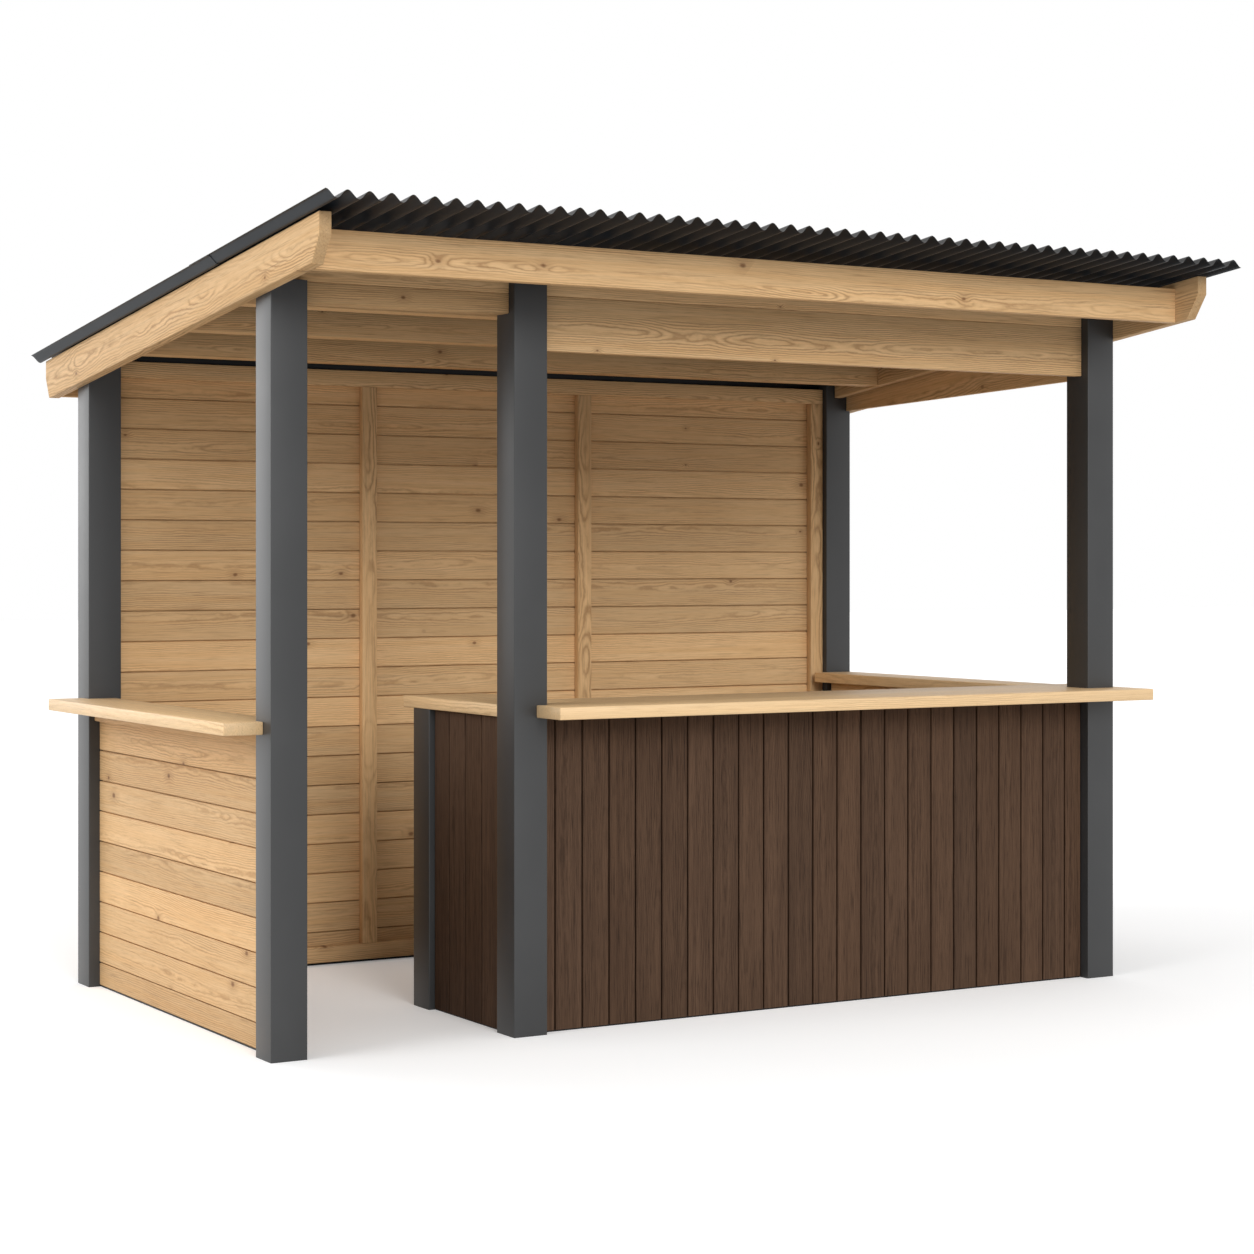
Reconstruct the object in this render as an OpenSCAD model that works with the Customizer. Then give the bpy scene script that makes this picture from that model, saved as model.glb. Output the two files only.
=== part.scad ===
// Outdoor garden bar: square metal posts, a boarded back wall, a low side wall with a drinks shelf,
// a clad bar with a worktop on three sides, and a corrugated lean-to roof that falls to the back.
// Units are millimetres. X runs along the bar, Y runs from front to back, Z is up.
// Inside the modules the front-left corner of the frame is at X 0, Y 0.

/* [Frame] */
// Width over the corner posts
frame_w = 3320; // [2600:20:4200]
// Depth over the corner posts
frame_d = 1780; // [1500:20:2400]
// Side of a square post
post_size = 120; // [90:5:140]
// Wall of the post's tube
post_wall = 3; // [2:0.5:6]
// Thickness of the foot plate that closes a post
foot_plate = 6; // [4:1:12]
// Clear width of the entrance between the front posts
entrance_w = 713; // [600:5:1000]
// Clear distance between the middle front post and the short counter post
return_gap = 493; // [300:5:700]

/* [Roof] */
// Fall of the roof towards the back, in degrees
roof_pitch = 6.2; // [3:0.1:10]
// Height of the roof plane at the front face of the posts
roof_height = 2476; // [2350:2:2700]
// Depth of a verge rafter, measured plumb
rafter_depth = 141; // [120:1:180]
// Thickness of the rafters and the fascia boards
rafter_t = 40; // [30:1:60]
// Distance from the posts' inner faces to the inner rafters
inner_rafter_inset = 40; // [0:1:50]
// Thickness of the gable board
gable_t = 20; // [15:1:28]
// How far the verge rafters run out in front of the posts
front_overhang = 447; // [200:1:600]
// How far the verge rafters run out behind the posts
back_overhang = 243; // [150:1:400]
// Height of the plumb cut at a rafter end
plumb_cut = 64; // [30:1:100]
// How far the raked cut under it runs back
rake_back = 56; // [20:1:100]
// Setback of the front fascia from the rafter ends
fascia_setback = 115; // [60:1:160]
// Drop from the roof plane to the underside of the front fascia
front_fascia_depth = 143; // [110:1:170]
// Drop from the roof plane to the top of the front fascia
front_fascia_gap = 22; // [0:1:40]
// Plumb depth of the back fascia
back_fascia_depth = 130; // [90:1:160]
// Number of purlins
purlins = 3; // [3:1:5]
// Depth of the purlins and inner rafters
purlin_depth = 88; // [70:1:115]
// Thickness of a purlin
purlin_t = 90; // [40:1:110]
// Distance of the first purlin behind the front posts
purlin_front_gap = 325; // [150:5:450]
// Distance from the last purlin's front face to the back posts
purlin_back_gap = 310; // [120:5:450]

/* [Roofing sheets] */
// Width of one corrugation
wave_pitch = 68.7; // [60:0.1:100]
// Height of a corrugation
wave_h = 26; // [12:1:32]
// Thickness of the sheet metal
sheet_t = 0.8; // [0.6:0.1:1.5]
// Corrugations covered by the left sheet
left_waves = 11; // [8:1:14]
// Corrugations covered by the middle sheet
middle_waves = 19; // [10:1:19]
// Overhang of the sheets past the left verge rafter
left_sheet_over = 42; // [20:1:80]
// Overhang of the sheets past the right verge rafter
right_sheet_over = 27; // [10:1:80]
// Overhang of the sheets past the front ends of the rafters
front_sheet_over = 143; // [30:1:180]
// Overhang of the sheets past the back ends of the rafters
back_sheet_over = 39; // [20:1:70]
// Distance of the upper row's back edge behind the front posts
row_joint = 345; // [200:5:700]
// How far the upper row of sheets laps over the lower row
row_lap = 160; // [100:5:250]

/* [Headers] */
// Drop from the roof plane to the shoulder, where the upper beams start
shoulder_drop = 101; // [90:1:200]
// Depth of the header over the bar
bar_header_h = 178; // [120:1:240]
// Depth of the header over the entrance
entrance_header_h = 64; // [50:1:120]
// Thickness of the header over the bar
header_t = 40; // [30:1:60]
// Setback of the bar header from the posts' front faces
bar_header_setback = 36; // [10:1:60]
// Setback of the entrance header from the posts' front faces, up to the posts' back faces
entrance_header_setback = 36; // [20:1:70]

/* [Walls] */
// Thickness of the wall boards
board_t = 20; // [14:1:28]
// Thickness of the framing behind the boards
framing_t = 40; // [30:1:60]
// Height of the low walls' lower edges above the ground
ground_gap = 5; // [3:1:40]
// Height of the back wall's lower edge above the ground
back_wall_gap = 13; // [5:1:60]
// Drop from the roof plane to the back wall's top edge
back_wall_drop = 47; // [30:1:300]
// Width of the battens and rails on the back wall
batten_w = 60; // [40:1:80]
// How far the battens and rails stand out from the boards
batten_t = 32; // [20:1:45]
// Distance of the first batten from the left post
first_batten = 964; // [700:2:1100]
// Distance of the second batten from the left post
second_batten = 1902; // [1300:2:2100]
// Recess of the left wall's boards from the posts' outer faces
left_wall_recess = 40; // [10:1:60]
// Recess of the bar front's boards from the posts' front faces
bar_front_recess = 38; // [10:1:60]
// Recess of the counter return's boards from the posts' faces
bar_return_recess = 20; // [10:1:60]

/* [Worktops] */
// Height of the worktop
counter_top_z = 1058; // [900:2:1150]
// Thickness of the worktop
counter_t = 40; // [28:1:60]
// Overhang of the front worktop in front of the posts
counter_front_over = 158; // [60:2:260]
// Depth of the front worktop behind the posts' front faces
counter_inner_depth = 325; // [200:5:500]
// How far the front worktop covers the middle post's face
counter_left_lap = 40; // [0:1:80]
// Overhang of the front worktop past the right post
counter_right_over = 53; // [0:1:120]
// Width of the worktop's right return
right_return_w = 182; // [150:2:300]
// Width of the worktop's left return
left_return_w = 300; // [220:5:400]
// How far the left return runs past the counter post
left_return_over = 80; // [20:1:140]
// Height of the drinks shelf on the left wall
shelf_top_z = 1030; // [900:2:1150]
// Thickness of the drinks shelf
shelf_t = 40; // [28:1:60]
// Overhang of the drinks shelf outside the posts
shelf_out = 129; // [60:1:220]
// Reach of the drinks shelf inside the wall
shelf_in = 100; // [60:1:200]
// How far each end of the shelf laps its post
shelf_post_lap = 60; // [20:1:90]

/* [Hidden] */

wood = "burlywood";
dark_wood = [0.27, 0.19, 0.14];
anthracite = [0.25, 0.26, 0.27];
black_metal = [0.12, 0.12, 0.13];

fit = 0.3;
steps_per_wave = 10;
slope = tan(roof_pitch);

// Places of the posts' near edges
middle_post_x = post_size + entrance_w;
right_post_x = frame_w - post_size;
counter_post_y = post_size + return_gap;
back_post_y = frame_d - post_size;
back_wall_y = frame_d - post_size / 2;

// Height of the roof plane at a place y
function roof_z(y) = roof_height - slope * y;

// Heights that follow the roof and the worktops
shoulder_z = roof_height - shoulder_drop;
back_wall_top = roof_z(back_wall_y) - back_wall_drop;
counter_under = counter_top_z - counter_t;
shelf_under = shelf_top_z - shelf_t;

rafter_front = -front_overhang;
rafter_back = frame_d + back_overhang;
sheet_front = rafter_front - front_sheet_over;
sheet_back = rafter_back + back_sheet_over;
sheet_left = -rafter_t - left_sheet_over;
sheet_right = frame_w + rafter_t + right_sheet_over;
upper_row_end = post_size + row_joint;

// The finished part stands centred on the origin
part_left = min(sheet_left, -shelf_out);
part_right = max(sheet_right, frame_w + counter_right_over);
part_back = sheet_back + (wave_h + sheet_t) * sin(roof_pitch);
centre_x = (part_left + part_right) / 2;
centre_y = (sheet_front + part_back) / 2;
module in_place() {
    translate([-centre_x, -centre_y, 0]) children();
}

// A box from its low corner to its high corner
module box(low, high) {
    translate(low) cube(high - low);
}

// An outline in the Y-Z plane, drawn out along X
module along_x(x0, x1) {
    translate([x0, 0, 0]) rotate([90, 0, 90]) linear_extrude(x1 - x0) children();
}

// A square tube with a plate at the foot
module post(x, y, h) {
    color(anthracite) in_place() translate([x, y, 0]) difference() {
        cube([post_size, post_size, h]);
        translate([post_wall, post_wall, foot_plate])
            cube([post_size - 2 * post_wall, post_size - 2 * post_wall, h]);
    }
}

module post_front_left() {
    post(0, 0, shoulder_z);
}
module post_front_middle() {
    post(middle_post_x, 0, roof_z(post_size) - fit);
}
module post_front_right() {
    post(right_post_x, 0, roof_z(post_size) - fit);
}
module post_back_left() {
    post(0, back_post_y, roof_z(frame_d) - fit);
}
module post_back_right() {
    post(right_post_x, back_post_y, roof_z(frame_d) - fit);
}
module counter_post() {
    post(middle_post_x, counter_post_y, counter_under);
}

// Back wall between the back posts: boards outside, rails and battens inside
back_inner_y = back_wall_y - batten_t;
module back_wall_boards() {
    color(wood) in_place()
        box([post_size, back_wall_y, back_wall_gap], [right_post_x, back_wall_y + board_t, back_wall_top]);
}
module back_wall_top_rail() {
    color(wood) in_place() box([post_size, back_inner_y, back_wall_top - batten_w],
        [right_post_x, back_wall_y, back_wall_top]);
}
module back_wall_bottom_rail() {
    color(wood) in_place() box([post_size, back_inner_y, back_wall_gap],
        [right_post_x, back_wall_y, back_wall_gap + batten_w]);
}
module back_wall_battens() {
    last = right_post_x - post_size - batten_w;
    color(wood) in_place() for (x = [first_batten, second_batten, last])
        box([post_size + x, back_inner_y, back_wall_gap + batten_w],
            [post_size + x + batten_w, back_wall_y, back_wall_top - batten_w]);
}

// Dark strip that closes the slot between the back wall and the roof
module back_wall_closure() {
    color(black_metal) in_place() along_x(post_size, right_post_x)
        board_outline(back_wall_y, back_wall_y + board_t, back_wall_top);
}

// Low left wall with the drinks shelf on top
left_frame_x = left_wall_recess + board_t;
module left_wall_boards() {
    color(wood) in_place() box([left_wall_recess, post_size, ground_gap],
        [left_frame_x, back_post_y, shelf_under - framing_t]);
}
module left_wall_frame() {
    color(wood) in_place() panel_frame_y(left_frame_x, post_size, back_post_y,
        shelf_under - framing_t, 3);
}
module left_wall_top_rail() {
    color(wood) in_place() box([left_wall_recess - board_t, post_size, shelf_under - framing_t],
        [left_frame_x + framing_t, back_post_y, shelf_under]);
}
module drinks_shelf() {
    color(wood) in_place() difference() {
        box([-shelf_out, post_size - shelf_post_lap, shelf_under],
            [shelf_in, back_post_y + shelf_post_lap, shelf_top_z]);
        for (y = [0, back_post_y])
            box([0, y, shelf_under - fit], [shelf_in + fit, y + post_size, shelf_top_z + fit]);
    }
}

// Low right wall under the worktop's right return
right_wall_out = frame_w - bar_front_recess;
module right_wall_boards() {
    color(dark_wood) in_place() box([right_wall_out - board_t, post_size, ground_gap],
        [right_wall_out, back_post_y, counter_under]);
}
module right_wall_frame() {
    color(wood) in_place() panel_frame_y(right_wall_out - board_t - framing_t, post_size, back_post_y,
        counter_under, 4);
}

// A wall's hidden framing: a rail at the top and the bottom, with studs cut to fit between them
module panel_frame(run, top, studs) {
    for (z = [ground_gap, top - framing_t])
        translate([0, 0, z]) cube([run, framing_t, framing_t]);
    for (i = [0 : studs - 1])
        translate([(run - framing_t) * i / (studs - 1), 0, ground_gap + framing_t + fit])
            cube([framing_t, framing_t, top - ground_gap - 2 * framing_t - 2 * fit]);
}

// The same framing in a wall that runs along Y, with its left face at x
module panel_frame_y(x, y0, y1, top, studs) {
    translate([x + framing_t, y0, 0]) rotate([0, 0, 90]) panel_frame(y1 - y0, top, studs);
}

// Bar front and its short return beside the entrance
bar_frame_y = bar_front_recess + board_t;
return_frame_x = middle_post_x + bar_return_recess + board_t;
module bar_front_boards() {
    color(dark_wood) in_place() box([middle_post_x + post_size, bar_front_recess, ground_gap],
        [right_post_x, bar_frame_y, counter_under]);
}
module bar_front_frame() {
    start = middle_post_x + post_size;
    color(wood) in_place() translate([start, bar_frame_y, 0])
        panel_frame(right_post_x - start, counter_under, 5);
}
module bar_return_boards() {
    color(dark_wood) in_place() box([return_frame_x - board_t, post_size, ground_gap],
        [return_frame_x, counter_post_y, counter_under]);
}
module bar_return_frame() {
    color(wood) in_place()
        panel_frame_y(return_frame_x, post_size, counter_post_y, counter_under, 2);
}

// Worktop along the front and its two returns
module worktop_front() {
    color(wood) in_place() difference() {
        box([middle_post_x + post_size - counter_left_lap, -counter_front_over, counter_under],
            [frame_w + counter_right_over, counter_inner_depth, counter_top_z]);
        for (x = [middle_post_x, right_post_x])
            box([x, 0, counter_under - fit], [x + post_size, post_size, counter_top_z + fit]);
        box([middle_post_x - fit, post_size - fit, counter_under - fit],
            [middle_post_x + left_return_w, counter_inner_depth + fit, counter_top_z + fit]);
    }
}
module worktop_left_return() {
    color(wood) in_place() box([middle_post_x, post_size, counter_under],
        [middle_post_x + left_return_w, counter_post_y + post_size + left_return_over, counter_top_z]);
}
module worktop_right_return() {
    color(wood) in_place() box([frame_w - right_return_w, counter_inner_depth, counter_under],
        [frame_w, back_post_y, counter_top_z]);
}

// Headers between the front posts and the beams on them
module bar_header() {
    color(wood) in_place()
        box([middle_post_x + post_size, bar_header_setback, shoulder_z - bar_header_h],
            [right_post_x, bar_header_setback + header_t, shoulder_z]);
}
module entrance_header() {
    color(wood) in_place()
        box([post_size, entrance_header_setback, shoulder_z - entrance_header_h],
            [middle_post_x, post_size, shoulder_z]);
}
module upper_beam(x0, x1, y0) {
    color(wood) in_place() along_x(x0, x1) board_outline(y0, post_size, shoulder_z);
}
module bar_upper_beam() {
    upper_beam(middle_post_x + post_size, right_post_x, bar_header_setback);
}
module entrance_upper_beam() {
    upper_beam(0, middle_post_x, entrance_header_setback);
}

// A board on edge under the sloping roof, with a flat underside
module board_outline(y0, y1, bottom) {
    polygon([[y0, bottom], [y1, bottom], [y1, roof_z(y1)], [y0, roof_z(y0)]]);
}

// Gable board between the right posts, from the header down to the rafter's underside
module right_gable_board() {
    front_z = shoulder_z - bar_header_h;
    color(wood) in_place() along_x(frame_w - gable_t, frame_w)
        polygon([[post_size, front_z], [back_post_y, roof_z(back_post_y) - rafter_depth],
            [back_post_y, roof_z(back_post_y)], [post_size, roof_z(post_size)]]);
}

// Rafters that run down the slope between the posts
module inner_rafter(x) {
    color(wood) in_place() along_x(x, x + rafter_t)
        polygon([[post_size, roof_z(post_size) - purlin_depth],
            [back_post_y, roof_z(back_post_y) - purlin_depth],
            [back_post_y, roof_z(back_post_y)], [post_size, roof_z(post_size)]]);
}
module inner_rafter_left() {
    inner_rafter(post_size - inner_rafter_inset - rafter_t);
}
module inner_rafter_right() {
    inner_rafter(right_post_x + inner_rafter_inset);
}

// Verge rafters on the posts' outer faces, with plumb and raked ends
module verge_rafter(x) {
    front_low = rafter_front + rake_back;
    back_low = rafter_back - rake_back * 2 / 3;
    color(wood) in_place() along_x(x, x + rafter_t)
        polygon([[rafter_front, roof_z(rafter_front)],
            [rafter_front, roof_z(rafter_front) - plumb_cut],
            [front_low, roof_z(front_low) - rafter_depth],
            [back_low, roof_z(back_low) - rafter_depth],
            [rafter_back, roof_z(rafter_back) - plumb_cut],
            [rafter_back, roof_z(rafter_back)]]);
}
module verge_rafter_left() {
    verge_rafter(-rafter_t);
}
module verge_rafter_right() {
    verge_rafter(frame_w);
}

// Fascia boards between the verge rafters
module front_fascia() {
    y0 = rafter_front + fascia_setback;
    color(wood) in_place() along_x(0, frame_w)
        polygon([[y0, roof_z(y0) - front_fascia_depth], [y0 + rafter_t, roof_z(y0) - front_fascia_depth],
            [y0 + rafter_t, roof_z(y0 + rafter_t) - front_fascia_gap], [y0, roof_z(y0) - front_fascia_gap]]);
}
module back_fascia() {
    y0 = rafter_back - rafter_t;
    color(wood) in_place() along_x(0, frame_w)
        board_outline(y0, rafter_back, roof_z(rafter_back) - back_fascia_depth);
}

// Purlins between the inner rafters, evenly spaced down the slope
module purlin(i) {
    first = post_size + purlin_front_gap;
    last = back_post_y - purlin_back_gap;
    y = first + (last - first) * i / (purlins - 1);
    color(wood) in_place() along_x(post_size - inner_rafter_inset, right_post_x + inner_rafter_inset)
        board_outline(y, y + purlin_t, roof_z(y) - purlin_depth);
}
module purlin_front() {
    purlin(0);
}
module purlin_middle() {
    for (i = [1 : purlins - 2]) purlin(i);
}
module purlin_back() {
    purlin(purlins - 1);
}

// Height of the corrugation at a distance x from a crest
function wave(x) = wave_h / 2 * (1 + cos(360 * x / wave_pitch));

// A corrugated sheet from a crest at x0 that lies down the slope from y0 to y1
module corrugated_sheet(x0, width, y0, y1, level) {
    step = wave_pitch / steps_per_wave;
    places = [for (i = [0 : ceil(width / step)]) min(i * step, width)];
    last = len(places) - 1;
    lower = [for (i = [0 : last]) [places[i], wave(places[i])]];
    upper = [for (i = [last : -1 : 0]) [places[i], wave(places[i]) + sheet_t]];
    length = (y1 - y0) / cos(roof_pitch);
    lift = fit + level * (sheet_t / cos(roof_pitch) + fit);
    color(black_metal) in_place() translate([x0, y0, roof_z(y0) + lift])
        rotate([-roof_pitch, 0, 0]) translate([0, length, 0]) rotate([90, 0, 0])
            linear_extrude(length) polygon(concat(lower, upper));
}

// The three sheets of a row: each laps its neighbour by one corrugation, the middle one on top
module left_sheet(y0, y1, level) {
    corrugated_sheet(sheet_left, (left_waves + 1) * wave_pitch, y0, y1, level);
}
module middle_sheet(y0, y1, level) {
    x0 = sheet_left + left_waves * wave_pitch;
    corrugated_sheet(x0, (middle_waves + 1) * wave_pitch, y0, y1, level + 1);
}
module right_sheet(y0, y1, level) {
    x0 = sheet_left + (left_waves + middle_waves) * wave_pitch;
    corrugated_sheet(x0, sheet_right - x0, y0, y1, level);
}

// The front row is the higher one and laps over the back row
module roof_sheet_front_left() {
    left_sheet(sheet_front, upper_row_end, 2);
}
module roof_sheet_front_middle() {
    middle_sheet(sheet_front, upper_row_end, 2);
}
module roof_sheet_front_right() {
    right_sheet(sheet_front, upper_row_end, 2);
}
module roof_sheet_back_left() {
    left_sheet(upper_row_end - row_lap, sheet_back, 0);
}
module roof_sheet_back_middle() {
    middle_sheet(upper_row_end - row_lap, sheet_back, 0);
}
module roof_sheet_back_right() {
    right_sheet(upper_row_end - row_lap, sheet_back, 0);
}

post_front_left();
post_front_middle();
post_front_right();
post_back_left();
post_back_right();
counter_post();
back_wall_boards();
back_wall_top_rail();
back_wall_bottom_rail();
back_wall_battens();
back_wall_closure();
left_wall_boards();
left_wall_frame();
left_wall_top_rail();
drinks_shelf();
right_wall_boards();
right_wall_frame();
bar_front_boards();
bar_front_frame();
bar_return_boards();
bar_return_frame();
worktop_front();
worktop_left_return();
worktop_right_return();
bar_header();
entrance_header();
bar_upper_beam();
entrance_upper_beam();
right_gable_board();
inner_rafter_left();
inner_rafter_right();
verge_rafter_left();
verge_rafter_right();
front_fascia();
back_fascia();
purlin_front();
purlin_middle();
purlin_back();
roof_sheet_front_left();
roof_sheet_front_middle();
roof_sheet_front_right();
roof_sheet_back_left();
roof_sheet_back_middle();
roof_sheet_back_right();
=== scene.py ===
import math
import random

import bmesh
import bpy
from mathutils import Matrix, Vector


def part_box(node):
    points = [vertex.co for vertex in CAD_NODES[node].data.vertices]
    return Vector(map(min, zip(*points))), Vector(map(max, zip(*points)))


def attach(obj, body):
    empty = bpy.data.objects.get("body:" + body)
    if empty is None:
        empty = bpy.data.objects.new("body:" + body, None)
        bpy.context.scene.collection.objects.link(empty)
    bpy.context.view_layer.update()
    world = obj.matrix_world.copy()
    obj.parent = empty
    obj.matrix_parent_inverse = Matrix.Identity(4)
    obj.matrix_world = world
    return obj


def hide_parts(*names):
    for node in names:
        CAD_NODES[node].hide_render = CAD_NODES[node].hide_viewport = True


bl_info = {
    "name": "Garden Bar",
    "version": (1, 0, 0),
    "blender": (4, 5, 0),
    "location": "3D View > Sidebar > Garden Bar",
    "description": "Dresses the frame of an outdoor garden bar in boards, timbers, posts and roof sheets",
    "category": "Object",
}

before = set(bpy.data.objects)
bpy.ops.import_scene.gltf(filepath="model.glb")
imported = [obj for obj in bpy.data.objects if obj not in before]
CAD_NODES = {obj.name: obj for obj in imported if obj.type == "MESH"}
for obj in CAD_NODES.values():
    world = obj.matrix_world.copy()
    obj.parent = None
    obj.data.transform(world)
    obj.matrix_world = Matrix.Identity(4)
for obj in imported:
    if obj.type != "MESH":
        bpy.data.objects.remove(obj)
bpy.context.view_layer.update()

# Directions of the part's frame
RIGHT = Vector((1, 0, 0))
BACK = Vector((0, 1, 0))
UP = Vector((0, 0, 1))

POSTS = (
    "post_front_left", "post_front_middle", "post_front_right",
    "post_back_left", "post_back_right", "counter_post",
)

# Timbers by the way their grain runs and the side that shows most
LEVEL_TIMBERS = {
    "back_wall_top_rail": BACK, "back_wall_bottom_rail": BACK, "bar_header": BACK, "entrance_header": BACK,
    "bar_upper_beam": BACK, "entrance_upper_beam": BACK, "front_fascia": BACK, "back_fascia": BACK,
    "purlin_front": BACK, "purlin_middle": BACK, "purlin_back": BACK,
}
SLOPING_TIMBERS = (
    "inner_rafter_left", "inner_rafter_right", "verge_rafter_left", "verge_rafter_right", "right_gable_board",
)
WALLS = ("back_wall_boards", "left_wall_boards", "right_wall_boards", "bar_front_boards", "bar_return_boards")
WALL_FRAMES = ("left_wall_frame", "right_wall_frame", "bar_front_frame", "bar_return_frame")

ROOF_SHEETS = (
    "roof_sheet_front_left", "roof_sheet_front_middle", "roof_sheet_front_right",
    "roof_sheet_back_left", "roof_sheet_back_middle", "roof_sheet_back_right",
)


# Sums of sockets, and nodes made in one call


class Wire:
    """An output socket that takes part in Python sums; each sum adds its Math node."""

    def __init__(self, patch, node, output):
        self.patch = patch
        self.node = node
        self.socket = node.outputs[output] if len(node.outputs) else None

    def out(self, output):
        """Another output of the same node."""
        return Wire(self.patch, self.node, output)

    def sum(self, operation, *values):
        return self.patch.node("ShaderNodeMath", {"operation": operation}, dict(enumerate(values)))

    def __add__(self, other):
        return self.sum("ADD", self, other)

    def __radd__(self, other):
        return self.sum("ADD", other, self)

    def __sub__(self, other):
        return self.sum("SUBTRACT", self, other)

    def __rsub__(self, other):
        return self.sum("SUBTRACT", other, self)

    def __mul__(self, other):
        return self.sum("MULTIPLY", self, other)

    def __rmul__(self, other):
        return self.sum("MULTIPLY", other, self)

    def __truediv__(self, other):
        return self.sum("DIVIDE", self, other)

    def __rtruediv__(self, other):
        return self.sum("DIVIDE", other, self)

    def __pow__(self, other):
        return self.sum("POWER", self, other)

    def __neg__(self):
        return self.sum("MULTIPLY", self, -1.0)


class Patch:
    """A node tree that is filled one node at a time."""

    def __init__(self, tree):
        self.tree = tree

    def node(self, kind, settings=None, values=None, output=0):
        """Add a node: its settings first, then the values or links of its sockets."""
        node = self.tree.nodes.new(kind)
        for key, value in (settings or {}).items():
            if key == "stops":
                self.set_stops(node.color_ramp, value)
            else:
                setattr(node, key, value)
        for key, value in (values or {}).items():
            if isinstance(value, Wire):
                self.tree.links.new(value.socket, node.inputs[key])
            else:
                node.inputs[key].default_value = value
        return Wire(self, node, output)

    @staticmethod
    def set_stops(ramp, stops):
        while len(ramp.elements) < len(stops):
            ramp.elements.new(1.0)
        for element, (place, colour) in zip(ramp.elements, stops):
            element.position = place
            element.color = colour

    def vector(self, x=0.0, y=0.0, z=0.0):
        return self.node("ShaderNodeCombineXYZ", None, {0: x, 1: y, 2: z})

    def noise(self, vector, scale=1.0, detail=2.0, roughness=0.5):
        values = {"Vector": vector, "Scale": scale, "Detail": detail, "Roughness": roughness}
        return self.node("ShaderNodeTexNoise", None, values)

    def blend(self, amount, first, second, how="MIX"):
        """Mix two colours."""
        settings = {"data_type": "RGBA", "blend_type": how}
        return self.node("ShaderNodeMix", settings, {0: amount, 6: first, 7: second}, 2)

    def ease(self, value, start, end, low=0.0, high=1.0):
        """A smooth step from low at start to high at end."""
        settings = {"interpolation_type": "SMOOTHSTEP"}
        return self.node("ShaderNodeMapRange", settings, {0: value, 1: start, 2: end, 3: low, 4: high})

    def bump(self, height, distance, strength=1.0):
        values = {"Height": height, "Distance": distance, "Strength": strength}
        return self.node("ShaderNodeBump", None, values)


def colour(rgb):
    """A colour for a socket."""
    return (*rgb, 1.0)


# Finishes


def new_finish(name):
    """An empty material with its shader and output."""
    material = bpy.data.materials.new(name)
    material.use_nodes = True
    material.node_tree.nodes.clear()
    return material, Patch(material.node_tree)


def close_finish(patch, base, roughness, normal=None, **constants):
    """Join the surface's colour, roughness and relief to the output."""
    values = {"Base Color": base, "Roughness": roughness}
    if normal is not None:
        values["Normal"] = normal
    values.update(constants)
    shader = patch.node("ShaderNodeBsdfPrincipled", None, values)
    patch.node("ShaderNodeOutputMaterial", None, {"Surface": shader})


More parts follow.
